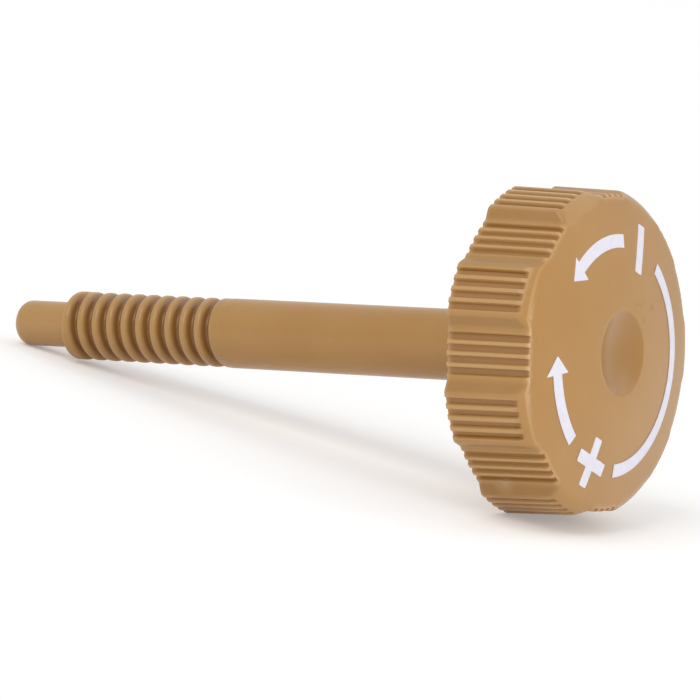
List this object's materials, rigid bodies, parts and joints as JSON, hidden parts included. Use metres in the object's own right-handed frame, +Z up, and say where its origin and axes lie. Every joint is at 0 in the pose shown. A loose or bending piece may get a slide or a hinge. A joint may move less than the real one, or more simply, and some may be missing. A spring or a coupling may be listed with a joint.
{
  "type": "adjustment wheel",
  "caption": "Moulded hand knob with a lobed, ribbed rim and a domed, dimpled face, on a long spindle that ends in a coarse thread and a pilot pin. Turned by hand to set a position.",
  "frame": {"origin": "middle of the bounding box, on the table that the wheel lies on", "axes": "+Z up, +X along the wheel from the tip of the spindle towards the finger face; the turning axis leans up by 12.67 degrees from +X"},
  "size_m": [0.0816, 0.036, 0.0367],
  "materials": {
    "ochre_plastic": "satin moulded",
    "white_print": "matt printed ink"
  },
  "bodies": {
    "root": {"adjustment_wheel": "ochre_plastic"}
  },
  "joints": []
}
